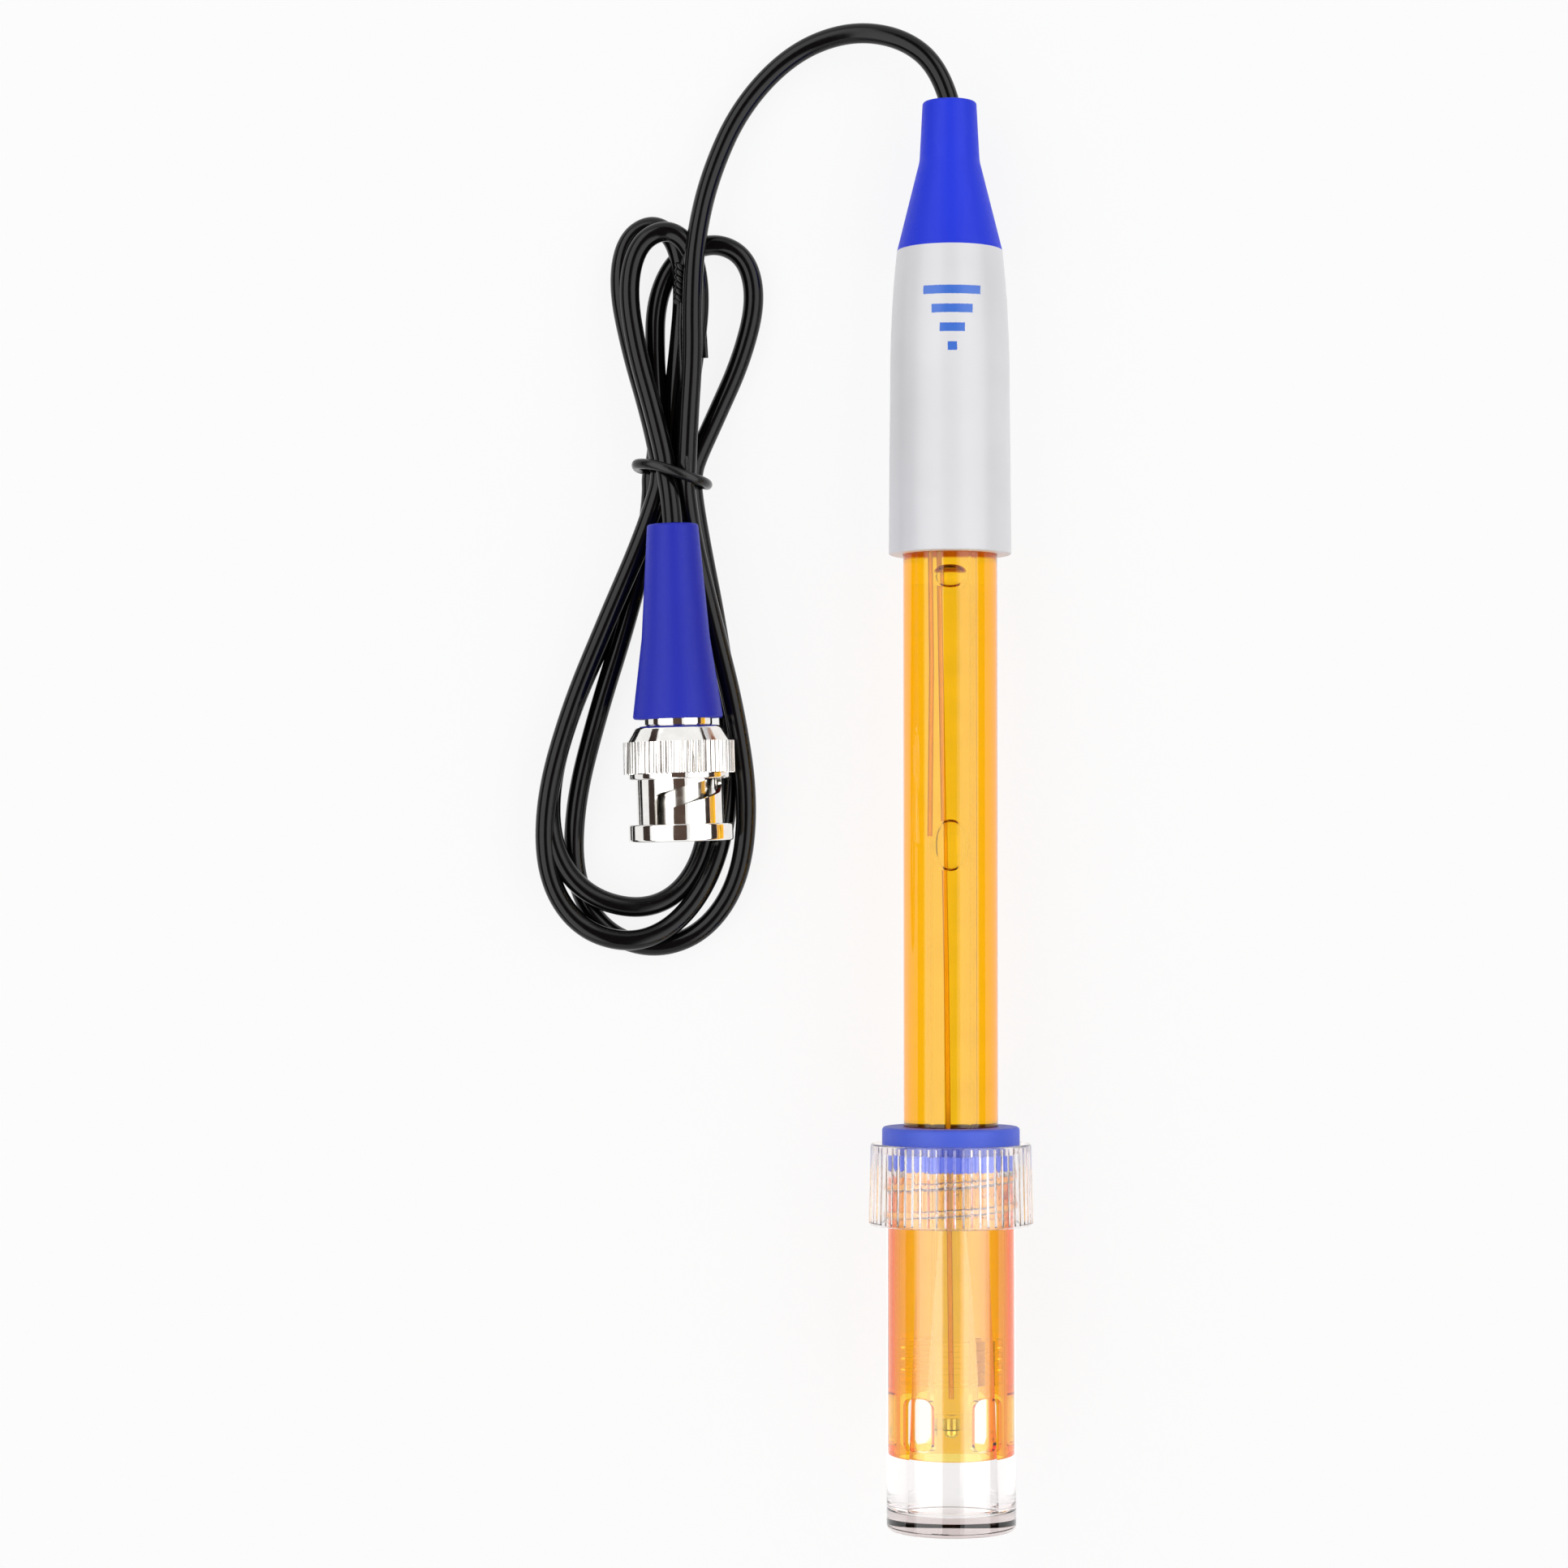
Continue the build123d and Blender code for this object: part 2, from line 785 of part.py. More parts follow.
def tie_ring(radius):
    """Round cord in a ring about the hank's neck, resting on the bench."""
    neck_top = tie_diameter + lead_diameter + hank_layer_pitch * (hank_neck_layers - 1)
    width = hank_neck[1] - hank_neck[0] + tie_diameter + tie_slack * 2
    height = neck_top + tie_slack
    middle = Plane(
        origin=((hank_neck[0] + hank_neck[1]) / 2, tie_place, tie_diameter / 2 + height / 2),
        x_dir=(1, 0, 0),
        z_dir=(0, -1, 0),
    )
    path = middle * RectangleRounded(width, height, lead_radius + tie_diameter / 2).wire()
    return sweep(Plane(path @ 0, z_dir=path % 0) * Circle(radius), path)


def cable_tie():
    return tie_ring(tie_diameter / 2)


def in_frame(frame, piece):
    return frame.location * piece


def probe_pieces():
    makers = (
        body_tube,
        tip_plug,
        ceramic_junction,
        glass_stem,
        platinum_tip,
        signal_wire,
        reference_wire,
        reference_gel,
        stem_stopper,
        splice_sleeve,
        head_cap,
        cable_boot,
        lead_end,
        storage_bottle,
        bottle_nut,
        seal_ring,
    )
    return {maker.__name__: maker() for maker in makers}


def plug_pieces():
    makers = (
        plug_boot,
        plug_lead_end,
        crimp_ferrule,
        gland_nut,
        plug_body,
        outer_contact,
        insulator,
        centre_pin,
        gasket,
        wave_spring,
        thrust_washer,
        coupling_nut,
    )
    return {maker.__name__: maker() for maker in makers}


def plug_room(frame):
    """Room that the plug and its turning nut need above the hank."""
    mouth, end = plug_boot_radius_mouth + glue_gap, plug_boot_radius_end + glue_gap
    boot = turned([(0, 0), (mouth, 0), (end, plug_boot_length), (0, plug_boot_length)])
    nut_end = mouth_z + coupling_travel + running_gap
    nut = rod(knurl_radius + running_gap, plug_boot_length, nut_end)
    return in_frame(frame, boot + nut)


def whole_part():
    probe = probe_pieces()
    frame = lying_frame()
    box = Compound([in_frame(frame, piece) for piece in probe.values()]).bounding_box()
    frame = lying_frame(length_shift=-(box.min.Y + box.max.Y) / 2)
    pieces = {name: in_frame(frame, piece) for name, piece in probe.items()}
    socket = plug_frame()
    pieces.update({name: in_frame(socket, piece) for name, piece in plug_pieces().items()})
    exit_point = frame.from_local_coords((0, 0, boot_top))
    pieces["lead_tube"] = lead_tube(exit_point)
    pieces["lead_hank"] = lead_hank(plug_room(socket))
    pieces["cable_tie"] = cable_tie()
    for label, place, along in (
        ("probe base", frame.origin, frame.z_dir),
        ("plug mouth", socket.origin, socket.z_dir),
    ):
        print(label, [round(value, 4) for value in place], "along", [round(value, 6) for value in along])
    return pieces


os.makedirs("parts", exist_ok=True)
for node, piece in whole_part().items():
    export_step(piece, f"parts/{node}.step")
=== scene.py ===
import json
import math

import bpy
from mathutils import Matrix, Vector


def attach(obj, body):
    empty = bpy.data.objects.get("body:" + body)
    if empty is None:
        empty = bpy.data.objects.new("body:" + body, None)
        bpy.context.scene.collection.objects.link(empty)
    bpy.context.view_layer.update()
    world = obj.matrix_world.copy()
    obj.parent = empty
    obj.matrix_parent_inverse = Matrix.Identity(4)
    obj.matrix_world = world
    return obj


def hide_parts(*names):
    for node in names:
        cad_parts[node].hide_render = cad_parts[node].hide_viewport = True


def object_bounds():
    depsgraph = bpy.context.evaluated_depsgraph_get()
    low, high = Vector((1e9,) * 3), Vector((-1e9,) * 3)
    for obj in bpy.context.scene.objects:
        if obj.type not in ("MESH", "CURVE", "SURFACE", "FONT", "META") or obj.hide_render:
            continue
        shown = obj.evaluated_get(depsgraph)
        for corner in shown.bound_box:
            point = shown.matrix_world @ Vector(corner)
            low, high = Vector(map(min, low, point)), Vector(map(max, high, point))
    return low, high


MM = 0.001

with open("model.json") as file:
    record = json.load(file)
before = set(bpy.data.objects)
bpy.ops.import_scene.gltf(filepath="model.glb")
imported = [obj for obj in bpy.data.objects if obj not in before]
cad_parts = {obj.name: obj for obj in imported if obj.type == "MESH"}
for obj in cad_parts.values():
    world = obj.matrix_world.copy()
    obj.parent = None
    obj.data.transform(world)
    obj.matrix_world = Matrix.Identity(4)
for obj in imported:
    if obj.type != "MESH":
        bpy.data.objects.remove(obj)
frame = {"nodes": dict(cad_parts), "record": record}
cad_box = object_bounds()
nodes = frame["nodes"]


def mm(*values):
    return Vector(values) * MM


# Places and directions of the probe and the plug, as in part.py
PROBE_ALONG = Vector((0.0, 0.999507, -0.031396))
PROBE_BASE = mm(0.0, -90.7856, 11.7177)
PLUG_ALONG = Vector((0.027921, -0.999586, 0.006981))
PLUG_MOUTH = mm(-35.4, 36.7, 8.8)

# Matrix from millimetres in the probe's own frame, across, up and along, to metres
ACROSS = Vector((1, 0, 0))
probe_turn = Matrix((ACROSS, PROBE_ALONG.cross(ACROSS), PROBE_ALONG)).transposed().to_4x4()
PROBE = Matrix.Translation(PROBE_BASE) @ probe_turn @ Matrix.Scale(MM, 4)

# Camera, straight above the bench as the photo was taken
CAMERA_PLACE = mm(-21.2, 3.6, 501)
camera_data = bpy.data.cameras.new("camera")
camera_data.lens = 88.7
camera_data.sensor_width = 36
camera_data.clip_start, camera_data.clip_end = 0.01, 10
camera = bpy.data.objects.new("camera", camera_data)
camera.location = CAMERA_PLACE
bpy.context.collection.objects.link(camera)
bpy.context.scene.camera = camera


# Node materials

WHITE = (1, 1, 1)


def add(tree, kind, inputs=None, **settings):
    """New shader node with its settings, and its inputs set to values or linked to sockets."""
    node = tree.nodes.new("ShaderNode" + kind)
    for name, value in settings.items():
        setattr(node, name, value)
    for name, value in (inputs or {}).items():
        if isinstance(value, bpy.types.NodeSocket):
            tree.links.new(value, node.inputs[name])
        else:
            node.inputs[name].default_value = value
    return node


def new_tree(name):
    material = bpy.data.materials.new(name)
    material.use_nodes = True
    tree = material.node_tree
    tree.nodes.clear()
    place = add(tree, "TexCoord").outputs["Object"]
    return material, tree, place


def blend(tree, share, first, second):
    return add(tree, "MixShader", {0: share, 1: first, 2: second}).outputs[0]


def dye(tree, tint, density):
    return add(tree, "VolumeAbsorption", {"Color": (*tint, 1), "Density": density}).outputs[0]


def finish_tree(tree, surface, volume=None):
    output = add(tree, "OutputMaterial", {"Surface": surface})
    if volume:
        tree.links.new(volume, output.inputs["Volume"])


def noise(tree, place, scale, detail=2.0, stretch=(1, 1, 1)):
    """Noise of that many cells per metre, drawn out along an axis by a stretch below 1."""
    at = add(tree, "Mapping", {"Vector": place, "Scale": stretch}).outputs[0]
    return add(tree, "TexNoise", {"Vector": at, "Scale": scale, "Detail": detail}).outputs[0]


def between(tree, value, low, high):
    """Noise spread between a low and a high value."""
    inputs = {"Value": value, "From Min": 0.3, "From Max": 0.7, "To Min": low, "To Max": high}
    return add(tree, "MapRange", inputs).outputs[0]


def bump(tree, height, depth, strength=1.0, normal=None):
    inputs = {"Height": height, "Distance": depth, "Strength": strength}
    if normal:
        inputs["Normal"] = normal
    return add(tree, "Bump", inputs).outputs[0]


def math_node(tree, operation, first, second=0.0):
    return add(tree, "Math", {0: first, 1: second}, operation=operation).outputs[0]


def product(tree, first, second):
    return math_node(tree, "MULTIPLY", first, second)


def below(tree, value, limit):
    return math_node(tree, "LESS_THAN", value, limit)


def above(tree, value, limit):
    return math_node(tree, "GREATER_THAN", value, limit)


def vector_node(tree, operation, first, second):
    return add(tree, "VectorMath", {0: first, 1: second}, operation=operation)


def shade(tree, color, value):
    """Colour made darker or lighter by a value around 1."""
    return add(tree, "HueSaturation", {"Color": (*color, 1), "Value": value}).outputs[0]


# Printed bars on the cap: where each lies along the probe and half its width, in millimetres
CAP_BARS = [(66.0, 3.6), (63.6, 2.6), (61.2, 1.6), (58.8, 0.6)]
BAR_HALF_HEIGHT = 0.55
INK_FRAY = 0.04


def printed(tree, place):
    """1 where the bars are printed on the upper side, with edges as worn as real ink."""
    fray = between(tree, noise(tree, place, 9000, 2), -INK_FRAY * MM, INK_FRAY * MM)
    across, along, up = add(tree, "SeparateXYZ", {0: place}).outputs
    mask = None
    for middle, half_width in CAP_BARS:
        inside = above(tree, up, PROBE_BASE.z)
        for value, centre, reach in ((across, 0, half_width), (along, middle, BAR_HALF_HEIGHT)):
            off = math_node(tree, "ABSOLUTE", math_node(tree, "SUBTRACT", value, centre * MM))
            inside = product(tree, inside, below(tree, math_node(tree, "ADD", off, fray), reach * MM))
        mask = math_node(tree, "MAXIMUM", mask, inside) if mask else inside
    return mask


def moulded(name, color, rough=(0.35, 0.45), grain=900, depth=0.012, ior=1.5, coat=0.0, mark=None):
    """Moulded plastic or rubber with uneven colour, uneven gloss and a fine skin."""
    material, tree, place = new_tree(name)
    broad = noise(tree, place, 60, 3)
    fine = noise(tree, place, grain, 3)
    skin = bump(tree, fine, depth * MM)
    soft = bump(tree, noise(tree, place, 140, 2), depth * 5 * MM, 0.5, skin)
    base = shade(tree, color, between(tree, broad, 0.95, 1.04))
    if mark:
        ink = add(tree, "Mix", {6: base, 7: (*mark, 1)}, data_type="RGBA")
        tree.links.new(printed(tree, place), ink.inputs[0])
        base = ink.outputs[2]
    inputs = {
        "Base Color": base,
        "Roughness": between(tree, fine, *rough),
        "IOR": ior,
        "Coat Weight": coat,
        "Coat Roughness": 0.2,
        "Normal": soft,
    }
    finish_tree(tree, add(tree, "BsdfPrincipled", inputs).outputs[0])
    return material


# Knurled band of the coupling nut, from the plug's mouth, in millimetres
KNURL_START, KNURL_END = 27.7, 31.7
KNURL_TEETH, TOOTH_DEPTH = 64, 0.18
KNURL_SATIN = 0.12


def knurl(tree, place, along):
    """Mask of the knurled band and the height of its teeth."""
    start = PLUG_MOUTH.dot(PLUG_ALONG)
    after = above(tree, along, start + KNURL_START * MM)
    band = product(tree, after, below(tree, along, start + KNURL_END * MM))
    local = vector_node(tree, "SUBTRACT", place, PLUG_MOUTH).outputs[0]
    side, _, up = add(tree, "SeparateXYZ", {0: local}).outputs
    wave = math_node(tree, "SINE", product(tree, math_node(tree, "ARCTAN2", side, up), KNURL_TEETH / 2))
    return band, product(tree, math_node(tree, "ABSOLUTE", wave), band)


def metal(name, color, rough=(0.05, 0.10), axis=PLUG_ALONG, knurled=False):
    """Plated metal with turning marks round its axis and a few dull spots."""
    material, tree, place = new_tree(name)
    along = vector_node(tree, "DOT_PRODUCT", place, axis).outputs["Value"]
    rings = add(tree, "CombineXYZ", {"Z": along}).outputs[0]
    marks = add(tree, "TexNoise", {"Vector": rings, "Scale": 2600, "Detail": 3}).outputs[0]
    spots = noise(tree, place, 700, 4)
    gloss = between(tree, spots, *rough)
    normal = bump(tree, marks, 0.0016 * MM)
    if knurled:
        band, teeth = knurl(tree, place, along)
        gloss = math_node(tree, "ADD", gloss, product(tree, band, KNURL_SATIN))
        normal = bump(tree, teeth, TOOTH_DEPTH * MM, 1.0, normal)
    inputs = {
        "Base Color": shade(tree, color, between(tree, spots, 0.93, 1.03)),
        "Metallic": 1.0,
        "Roughness": gloss,
        "Normal": normal,
    }
    finish_tree(tree, add(tree, "BsdfPrincipled", inputs).outputs[0])
    return material


def probe_place(tree, place):
    """Height along the probe's axis and distance from it, in metres."""
    local = vector_node(tree, "SUBTRACT", place, PROBE_BASE).outputs[0]
    height = vector_node(tree, "DOT_PRODUCT", local, PROBE_ALONG).outputs["Value"]
    axis = add(tree, "VectorMath", {0: PROBE_ALONG, "Scale": height}, operation="SCALE").outputs[0]
    off = vector_node(tree, "SUBTRACT", local, axis).outputs[0]
    return height, add(tree, "VectorMath", {0: off}, operation="LENGTH").outputs["Value"]


def clear(name, ior, tint=WHITE, density=0, rough=0.0, shadow=WHITE, wet=None, wet_ior=1.1, coat=0.0):
    """Clear plastic or glass. wet gives a mask of the faces that touch a liquid and bend light less."""
    material, tree, place = new_tree(name)
    drawn = noise(tree, place, 700, 2, (1, 0.03, 1))
    normal = bump(tree, drawn, 0.004 * MM)

    def body(index):
        inputs = {
            "Base Color": (*WHITE, 1),
            "Roughness": rough,
            "IOR": index,
            "Transmission Weight": 1.0,
            "Coat Weight": coat,
            "Coat Roughness": 0.02,
            "Coat IOR": 1.6,
            "Normal": normal,
        }
        return add(tree, "BsdfPrincipled", inputs).outputs[0]

    surface = body(ior)
    if wet:
        surface = blend(tree, wet(tree, place), surface, body(wet_ior))
    through = add(tree, "BsdfTransparent", {"Color": (*shadow, 1)}).outputs[0]
    surface = blend(tree, add(tree, "LightPath").outputs["Is Shadow Ray"], surface, through)
    finish_tree(tree, surface, dye(tree, tint, density) if density else None)
    return material


def see_through(name, tint, density):
    """Liquid that fills a piece of nearly its own refraction, faintly cloudy."""
    material, tree, place = new_tree(name)
    cloud = shade(tree, WHITE, between(tree, noise(tree, place, 300, 3), 0.975, 1.0))
    surface = add(tree, "BsdfTransparent", {"Color": cloud}).outputs[0]
    finish_tree(tree, surface, dye(tree, tint, density))
    return material


# The bottle's liquid: its level over the bench and its top along the probe, and between the
# walls of tube and bottle and above the bottle's floor, the faces that it or the gel touches
LIQUID_LEVEL, LIQUID_TOP = 16.3, 44.5
TUBE_WALL_MIDDLE, BOTTLE_WALL_MIDDLE, BOTTLE_FLOOR_MIDDLE = 5.5, 7.7, 1.2


def in_liquid(tree, place):
    """Mask of what lies under the liquid's level, with the place along and off the probe's axis."""
    height, off = probe_place(tree, place)
    up = add(tree, "SeparateXYZ", {0: place}).outputs[2]
    under = product(tree, below(tree, up, LIQUID_LEVEL * MM), below(tree, height, LIQUID_TOP * MM))
    return under, height, off


def tube_wet(tree, place):
    under, _, off = in_liquid(tree, place)
    return math_node(tree, "MAXIMUM", under, below(tree, off, TUBE_WALL_MIDDLE * MM))


def bottle_wet(tree, place):
    under, height, off = in_liquid(tree, place)
    walls = below(tree, off, BOTTLE_WALL_MIDDLE * MM)
    inside = product(tree, walls, above(tree, height, BOTTLE_FLOOR_MIDDLE * MM))
    return product(tree, under, inside)


LEAD_BLACK = (0.0025, 0.0025, 0.003)
CAP_WHITE, CAP_BLUE = (0.84, 0.835, 0.86), (0.05, 0.18, 0.72)
AMBER, AMBER_SHADOW = (0.9968, 0.868, 0.007), (1, 0.86, 0.55)
BOTTLE, BOTTLE_SHADOW = (0.90, 0.865, 0.86), (0.97, 0.95, 0.95)
NUT, NUT_SHADOW = (0.96, 0.89, 0.88), (0.95, 0.93, 0.93)

# Looks: of clear ones index, dye, its density and roughness; of moulded ones colour, roughness,
# grain and its depth in millimetres, and index; of metals colour and roughness
looks = {
    "amber_body": clear("amber_clear", 1.5, AMBER, 2000, 0.02, AMBER_SHADOW, tube_wet, 1.11),
    "tip_plug": clear("amber_plug", 1.1, (0.99, 0.92, 0.35), 130, 0.02, AMBER_SHADOW),
    "glass": clear("stem_glass", 1.13, (0.96, 0.98, 0.97), 60, 0.0),
    "gel": see_through("reference_gel", (0.99, 0.96, 0.86), 60),
    "bottle": clear("bottle_clear", 1.49, BOTTLE, 230, 0.01, BOTTLE_SHADOW, bottle_wet, 1.12, 0.25),
    "nut_clear": clear("nut_clear", 1.49, NUT, 120, 0.07, NUT_SHADOW, coat=0.5),
    "cap_white": moulded("cap_white", CAP_WHITE, (0.32, 0.42), 1500, 0.004, 1.5, 0.15, CAP_BLUE),
    "boot_blue": moulded("boot_blue", (0.012, 0.040, 0.80), (0.45, 0.55), 1800, 0.006, 1.38),
    "plug_blue": moulded("plug_blue", (0.014, 0.024, 0.47), (0.45, 0.55), 1800, 0.006, 1.38),
    "lead": moulded("lead_black", LEAD_BLACK, (0.13, 0.18), 1400, 0.003, 1.34),
    "tie": moulded("tie_black", (0.006, 0.006, 0.006), (0.2, 0.3), 1800, 0.02, 1.4),
    "seal_blue": moulded("seal_blue", (0.065, 0.12, 0.72), (0.45, 0.55), 1500, 0.01),
    "stopper": moulded("stopper_amber", (0.55, 0.30, 0.03), (0.4, 0.5)),
    "shrink": moulded("shrink_black", (0.012, 0.012, 0.012)),
    "ceramic": moulded("ceramic_white", (0.82, 0.79, 0.72), (0.6, 0.8), 4000, 0.03),
    "insulator": moulded("insulator_white", (0.83, 0.82, 0.79), (0.35, 0.45)),
    "gasket": moulded("gasket_red", (0.42, 0.05, 0.03), (0.45, 0.6)),
    "chrome": metal("nickel_bright", (0.90, 0.885, 0.86), knurled=True),
    "contact": metal("nickel_dull", (0.72, 0.70, 0.65), (0.15, 0.25)),
    "gold": metal("gold_plate", (0.83, 0.60, 0.24), (0.12, 0.2)),
    "platinum": metal("platinum", (0.75, 0.74, 0.72), (0.15, 0.25), axis=PROBE_ALONG),
    "wire": metal("silver_wire", (0.64, 0.43, 0.20), (0.4, 0.55), axis=PROBE_ALONG),
}
slot_of = {part["node"]: part["material_slot"] for part in frame["record"]["subparts"]}
for node, piece in nodes.items():
    piece.data.materials.clear()
    piece.data.materials.append(looks[slot_of[node]])


# Pieces made here


def link(name, data, look, body="root"):
    """New piece that rides on a body."""
    piece = bpy.data.objects.new(name, data)
    data.materials.append(look)
    bpy.context.collection.objects.link(piece)
    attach(piece, body)
    return piece


def line_piece(name, points, radius, look, body="root", closed=False, sides=6):
    """Round strand along a smooth line with these control points, in millimetres."""
    data = bpy.data.curves.new(name, "CURVE")
    data.dimensions = "3D"
    data.bevel_depth = radius * MM
    data.bevel_resolution = sides
    data.resolution_u = 12
    data.use_fill_caps = True
    spline = data.splines.new("NURBS")
    spline.points.add(len(points) - 1)
    for target, point in zip(spline.points, points):
        target.co = (*mm(*point), 1)
    spline.order_u = 3
    spline.use_cyclic_u = closed
    spline.use_endpoint_u = not closed
    return link(name, data, look, body)


# The lead: from the boot over the bench, three turns round the tie, and into the plug's boot

LEAD_EXIT = (0.0, 90.92, 6.01)
LEAD_FREE = [
    (-1.2, 95.4, 5.5),
    (-6.0, 99.6, 4.4),
    (-13.0, 100.7, 3.0),
    (-20.4, 97.9, 1.9),
    (-26.9, 91.0, 1.6),
    (-30.8, 82.0, 2.8),
    (-32.6, 73.4, 5.2),
    (-33.0, 65.5, 6.6),
    (-32.9, 58.0, 6.9),
    (-33.4, 50.5, 7.0),
]
TIE_Y = 43.3
LEVEL_AT = (0, 60, 105, 145, 180, 225, 255, 300, 360)

# Where the lead passes the tie (x, z), before, between and after its loops
AT_TIE = [
    (-33.7, 7.0),
    (-38.3, 3.6),
    (-33.0, 2.6),
    (-37.0, 5.9),
    (-35.7, 1.4),
    (-34.4, 3.6),
    (-36.3, 7.1),
]

# Each loop: its tip (x, y), how far its two sides bow out, how near the tip they do, its
# heights on the way at the turns above, and its number of points
LOOPS = [
    ((-38.0, -17.9), (16.9, 17.6), (2.0, 2.6), (4.2, 3.9, 1.6, 1.3, 1.3, 1.3, 2.0), 16),
    ((-30.2, 73.8), (-9.0, -8.6), (2.6, 1.6), (2.0, 1.3, 1.3, 1.3, 1.3, 1.3, 1.6), 12),
    ((-41.2, -17.1), (14.9, 18.0), (1.5, 1.8), (1.3, 1.3, 2.4, 3.9, 3.9, 3.9, 4.2), 16),
    ((-38.2, 76.2), (-7.5, -6.2), (2.3, 3.0), (3.8, 3.0, 1.4, 1.3, 2.4, 2.2, 1.6), 12),
    ((-40.1, -12.8), (15.0, 19.4), (3.0, 1.7), (1.3, 1.3, 1.3, 2.6, 3.9, 1.6, 1.3), 16),
    ((-36.5, 75.2), (6.5, 7.5), (2.4, 2.0), (3.8, 4.2, 4.2, 3.9, 4.0, 4.6, 5.9), 12),
]
LEAD_LAST = [(-36.3, 43.3, 7.1), (-35.6, 39.6, 8.4), (-35.4, 36.7, 8.8)]
LEAD_RADIUS = 1.3


def eased(value, places, levels):
    """Height at a place, between the two levels on either side of it."""
    for low, high, before, after in zip(places, places[1:], levels, levels[1:]):
        if value <= high:
            share = (value - low) / (high - low)
            return before + (after - before) * share * share * (3 - 2 * share)
    return levels[-1]


def loop_points(start, end, tip, bows, powers, levels, steps):
    """Control points of one loop of the lead, from the tie out to its tip and back."""
    lean = tip[0] - (start[0] + end[0]) / 2
    points = []
    for step in range(steps):
        turn = 2 * math.pi * step / steps
        share = (1 - math.cos(turn)) / 2
        side = 0 if turn <= math.pi else 1
        bow = bows[side] * math.sin(turn) * math.sin(turn / 2) ** powers[side]
        x = start[0] + (end[0] - start[0]) * turn / (2 * math.pi) + lean * share + bow
        y = TIE_Y + (tip[1] - TIE_Y) * share
        z = eased(math.degrees(turn), LEVEL_AT, (start[1], *levels, end[1]))
        points.append((x, y, z))
    return points


lead_route = [LEAD_EXIT] + LEAD_FREE
for start, end, loop in zip(AT_TIE, AT_TIE[1:], LOOPS):
    lead_route += loop_points(start, end, *loop)
lead_route += LEAD_LAST
lead = line_piece("lead_cord", lead_route, LEAD_RADIUS, looks["lead"], sides=8)
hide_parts("lead_tube", "lead_hank")

# Tie round the lead: a wire tie with its twisted ends and its tail

TIE_RADIUS, TIE_END_RADIUS = 0.66, 0.36
tie_ring = [
    (-40.2, 44.5, 4.6),
    (-39.9, 44.6, 7.2),
    (-37.2, 44.2, 9.2),
    (-33.6, 42.8, 9.3),
    (-31.4, 42.2, 7.6),
    (-30.9, 42.0, 4.2),
    (-31.7, 42.4, 1.6),
    (-34.4, 43.2, 0.68),
    (-37.6, 44.0, 0.72),
    (-39.9, 44.3, 2.2),
]
ring = line_piece("tie_ring", tie_ring, TIE_RADIUS, looks["tie"], closed=True)

# The tie's end runs up under the lead, is twisted on itself and hangs back as a tail
TWIST_FROM, TWIST_TO = (-34.7, 65.5, 5.0), (-34.5, 70.3, 5.0)
TWIST_TURNS, TWIST_POINTS, TWIST_RADIUS = 3, 12, 0.36


def twist_points(side):
    """Points of one of the two twisted strands, on one side of their middle."""
    points = []
    for step in range(TWIST_TURNS * TWIST_POINTS + 1):
        share = step / (TWIST_TURNS * TWIST_POINTS)
        angle = 2 * math.pi * TWIST_TURNS * share + side * math.pi
        x, y, z = (a + (b - a) * share for a, b in zip(TWIST_FROM, TWIST_TO))
        points.append((x + TWIST_RADIUS * math.cos(angle), y, z + TWIST_RADIUS * math.sin(angle)))
    return points


tail_up = [(-33.4, 43.2, 8.9), (-33.9, 48.5, 6.4), (-34.3, 56.0, 4.6), (-34.5, 61.5, 4.6)]
tail_back = [
    (-33.4, 73.2, 4.6),
    (-32.3, 73.0, 4.2),
    (-31.9, 69.0, 4.0),
    (-31.6, 64.0, 4.0),
    (-31.3, 58.4, 4.0),
]
tail_route = tail_up + twist_points(0) + tail_back
tail = line_piece("tie_tail", tail_route, TIE_END_RADIUS, looks["tie"])
twist = line_piece("tie_twist", twist_points(1), TIE_END_RADIUS, looks["tie"])
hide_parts("cable_tie")

# Bubbles in the stem

LATHE_STEPS, BUBBLE_STEPS = 64, 24
BUBBLE_FULLNESS = 0.8


def bubble(name, place, half, radius):
    """Air bubble in the stem, its faces inward, so that its skin bends light as its liquid does."""
    points, rows = [], []
    for level in range(BUBBLE_STEPS + 1):
        angle = -math.pi / 2 + math.pi * level / BUBBLE_STEPS
        height = place + half * math.sin(angle)
        if level in (0, BUBBLE_STEPS):
            rows.append([len(points)] * LATHE_STEPS)
            points.append(PROBE @ Vector((0, 0, height)))
            continue
        wide = radius * math.cos(angle) ** BUBBLE_FULLNESS
        rows.append(list(range(len(points), len(points) + LATHE_STEPS)))
        for step in range(LATHE_STEPS):
            turn = 2 * math.pi * step / LATHE_STEPS
            points.append(PROBE @ Vector((wide * math.cos(turn), wide * math.sin(turn), height)))
    faces = []
    for low, high in zip(rows, rows[1:]):
        for step in range(LATHE_STEPS):
            after = (step + 1) % LATHE_STEPS
            face = dict.fromkeys((low[step], low[after], high[after], high[step]))
            faces.append(list(face)[::-1])
    mesh = bpy.data.meshes.new(name)
    mesh.from_pydata(points, [], faces)
    for face in mesh.polygons:
        face.use_smooth = True
    mesh.update()
    drop = link(name, mesh, bubble_look)


bubble_look = clear("bubble_skin", 1.33)
bubble("stem_bubble", 86.6, 3.35, 1.76)
bubble("stem_bubble_top", 120.8, 1.55, 1.74)

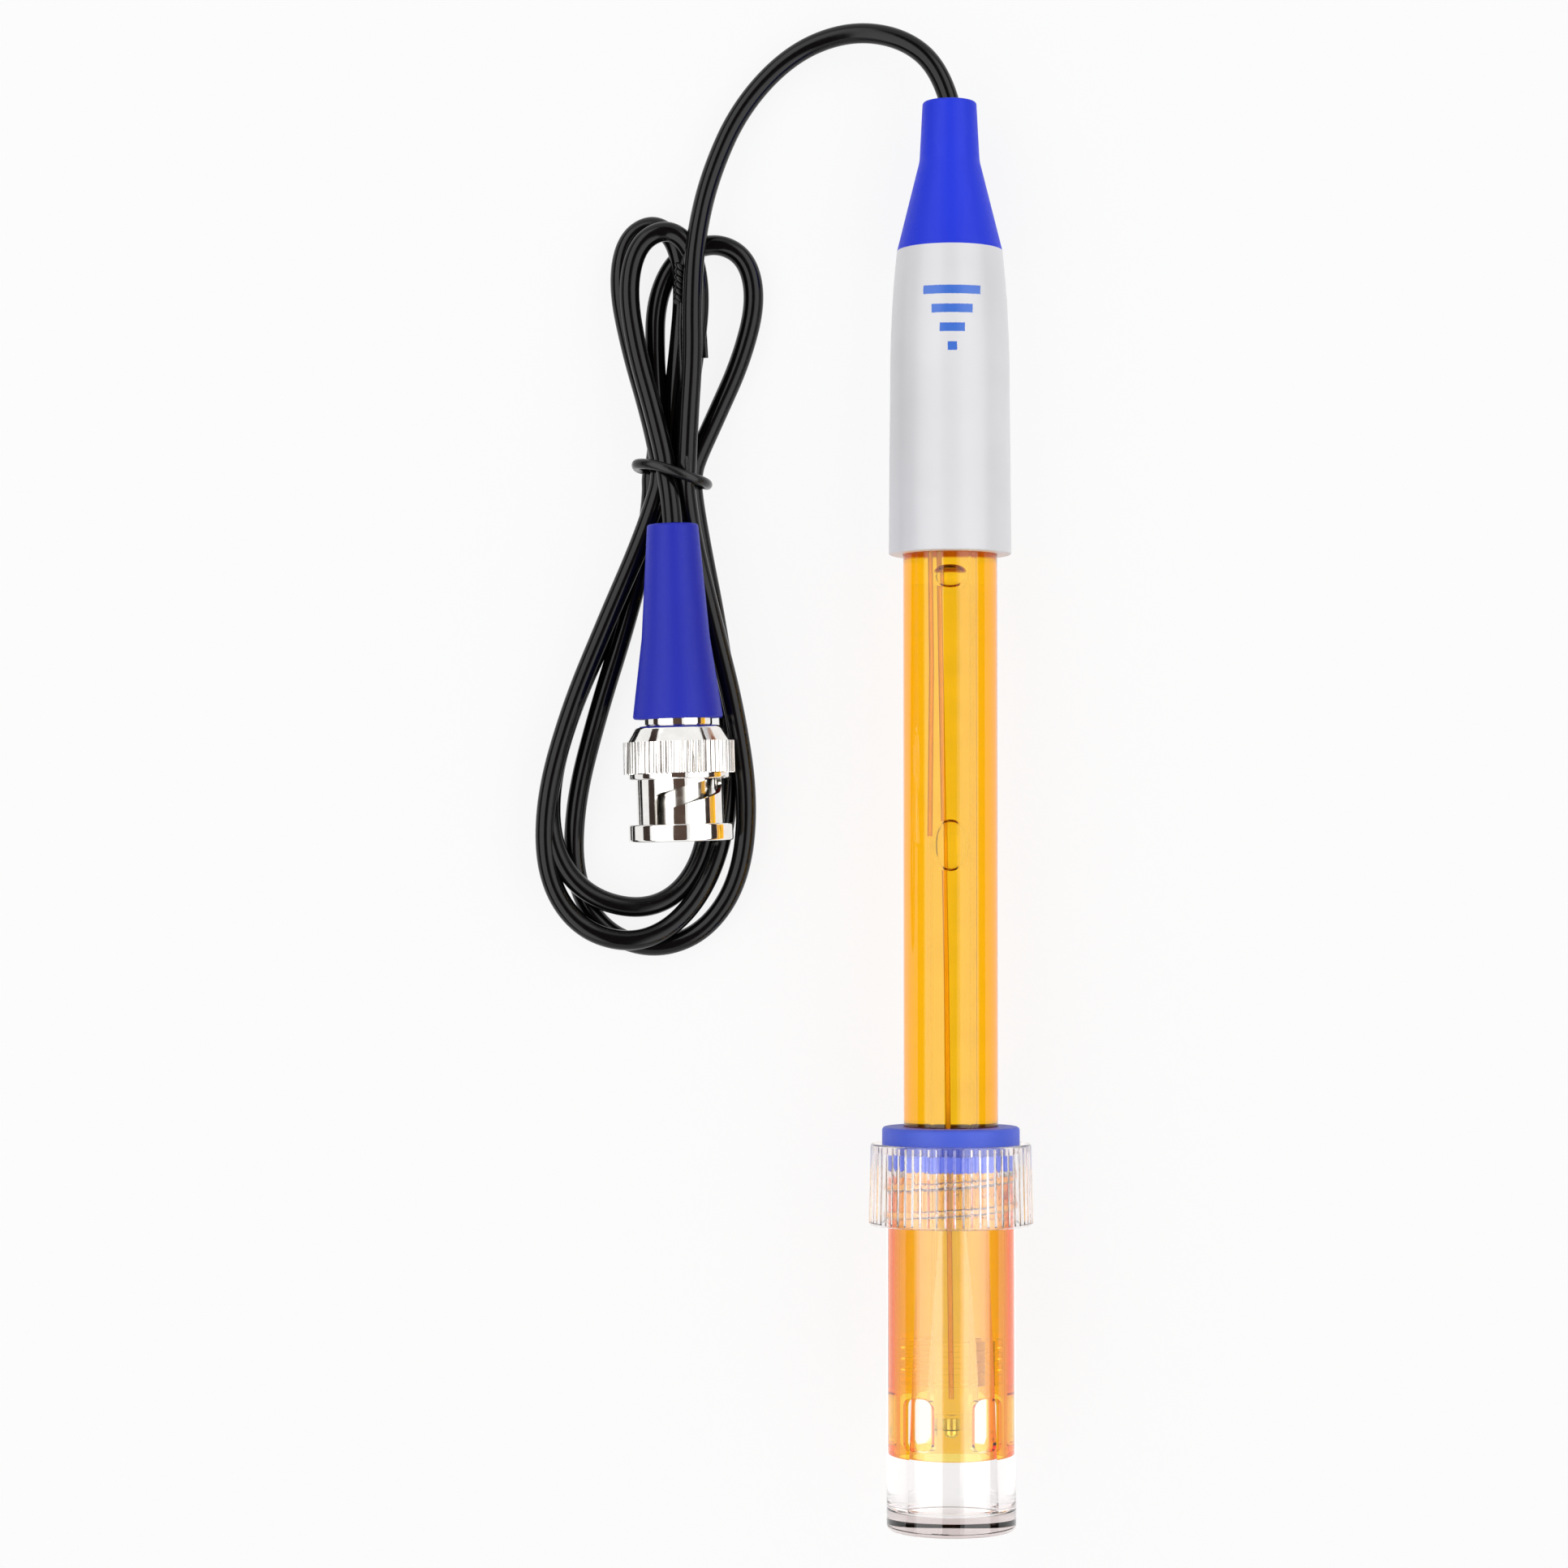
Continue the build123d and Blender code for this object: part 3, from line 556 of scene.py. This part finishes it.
# Thread on the bottle's neck, inside the nut
THREAD_START, THREAD_RADIUS, THREAD_HALF, THREAD_PITCH = 39.6, 8.22, 0.5, 3.4
THREAD_TURNS, THREAD_POINTS = 1.5, 16
thread_route = []
for step in range(int(THREAD_TURNS * THREAD_POINTS) + 1):
    angle = 2 * math.pi * step / THREAD_POINTS
    height = THREAD_START + THREAD_PITCH * step / THREAD_POINTS
    point = Vector((-THREAD_RADIUS * math.cos(angle), -THREAD_RADIUS * math.sin(angle), height))
    thread_route.append(tuple(PROBE @ point / MM))
thread = line_piece("neck_thread", thread_route, THREAD_HALF, looks["bottle"], body="bottle")

# Floor, light and background

FLOOR_COLOR, FLOOR_GLOW, FLOOR_HALF, FLOOR_GAP = (0.86, 0.86, 0.865), 0.88, 3.0, 0.02
WORLD_DIM = 0.14


def seen_ray(tree):
    """1 for what the camera sees, also in metal and through glass."""
    path = add(tree, "LightPath").outputs
    seen = math_node(tree, "MAXIMUM", path["Is Camera Ray"], path["Is Glossy Ray"])
    return math_node(tree, "MAXIMUM", seen, path["Is Transmission Ray"])


def floor_look():
    material, tree, place = new_tree("floor_white")
    speck = between(tree, noise(tree, place, 400, 3), 0.985, 1.0)
    matt = add(tree, "BsdfDiffuse", {"Color": shade(tree, FLOOR_COLOR, speck)}).outputs[0]
    glow = add(tree, "Emission", {"Color": (*WHITE, 1), "Strength": 1.0}).outputs[0]
    finish_tree(tree, blend(tree, product(tree, seen_ray(tree), FLOOR_GLOW), matt, glow))
    return material


def sheet(name, corners, look):
    mesh = bpy.data.meshes.new(name)
    mesh.from_pydata(corners, [], [(0, 1, 2, 3)])
    mesh.materials.append(look)
    piece = bpy.data.objects.new(name, mesh)
    bpy.context.collection.objects.link(piece)
    return piece


corner_signs = ((-1, -1), (1, -1), (1, 1), (-1, 1))
floor = sheet("floor", [(FLOOR_HALF * x, FLOOR_HALF * y, 0) for x, y in corner_signs], floor_look())
floor.location.z = cad_box[0][2] - FLOOR_GAP * MM

world = bpy.data.worlds.new("world")
bpy.context.scene.world = world
world.use_nodes = True
world_tree = world.node_tree
world_tree.nodes.clear()
dim = add(world_tree, "Background", {"Color": (*WHITE, 1), "Strength": WORLD_DIM}).outputs[0]
white = add(world_tree, "Background", {"Color": (*WHITE, 1), "Strength": 1.0}).outputs[0]
add(world_tree, "OutputWorld", {"Surface": blend(world_tree, seen_ray(world_tree), dim, white)})

BOX_DISTANCE, BOX_WIDTH, BOX_LENGTH, BOX_RADIANCE = 0.75, 0.66, 2.0, 1.45


def soft_box(name, tilt):
    """Soft box along the probe, tilted from straight above it to one side."""
    lamp = bpy.data.lights.new(name, "AREA")
    lamp.shape = "RECTANGLE"
    lamp.size, lamp.size_y = BOX_WIDTH, BOX_LENGTH
    lamp.energy = BOX_RADIANCE * math.pi * BOX_WIDTH * BOX_LENGTH
    light = bpy.data.objects.new(name, lamp)
    angle = math.radians(tilt)
    light.location = (BOX_DISTANCE * math.sin(angle), 0, BOX_DISTANCE * math.cos(angle))
    light.rotation_euler = (0, angle, 0)
    light.visible_camera = False
    bpy.context.collection.objects.link(light)


soft_box("soft_box_left", -42)
soft_box("soft_box_right", 44)

# Dark cards: one high over the bench from left to right, and a low one at each side
TOP_CARD_LEFT, TOP_CARD_RIGHT, TOP_CARD_HEIGHT = -0.42, 0.30, 1.3
SIDE_CARD_PLACE, SIDE_CARD_HEIGHT, CARD_HALF = 1.2, 0.42, 1.6


def dark_card(name, corners, color):
    """Dark card, which only shines back from glossy pieces."""
    material, tree, place = new_tree(name)
    grain = between(tree, noise(tree, place, 40, 2), 0.8, 1.2)
    glow = add(tree, "Emission", {"Color": shade(tree, color, grain), "Strength": 1.0}).outputs[0]
    finish_tree(tree, glow)
    card = sheet(name, corners, material)
    for kind in ("camera", "diffuse", "transmission", "volume_scatter", "shadow"):
        setattr(card, "visible_" + kind, False)
    return card


top_sides = {-1: TOP_CARD_LEFT, 1: TOP_CARD_RIGHT}
top_corners = [(top_sides[x], CARD_HALF * y, TOP_CARD_HEIGHT) for x, y in corner_signs]
cards = [dark_card("dark_card_top", top_corners, (0.10, 0.065, 0.05))]
for name, x in (("dark_card_left", -SIDE_CARD_PLACE), ("dark_card_right", SIDE_CARD_PLACE)):
    low = [(x, -CARD_HALF, 0), (x, CARD_HALF, 0)]
    high = [(x, CARD_HALF, SIDE_CARD_HEIGHT), (x, -CARD_HALF, SIDE_CARD_HEIGHT)]
    cards.append(dark_card(name, low + high, (0.05, 0.035, 0.03)))

# Light bounces enough for the probe's tip, seen through bottle, liquid, tube, gel and stem
bpy.context.scene.view_settings.view_transform = "Standard"
bpy.context.scene.cycles.max_bounces = 40
bpy.context.scene.cycles.transmission_bounces = 40
bpy.context.scene.cycles.transparent_max_bounces = 24
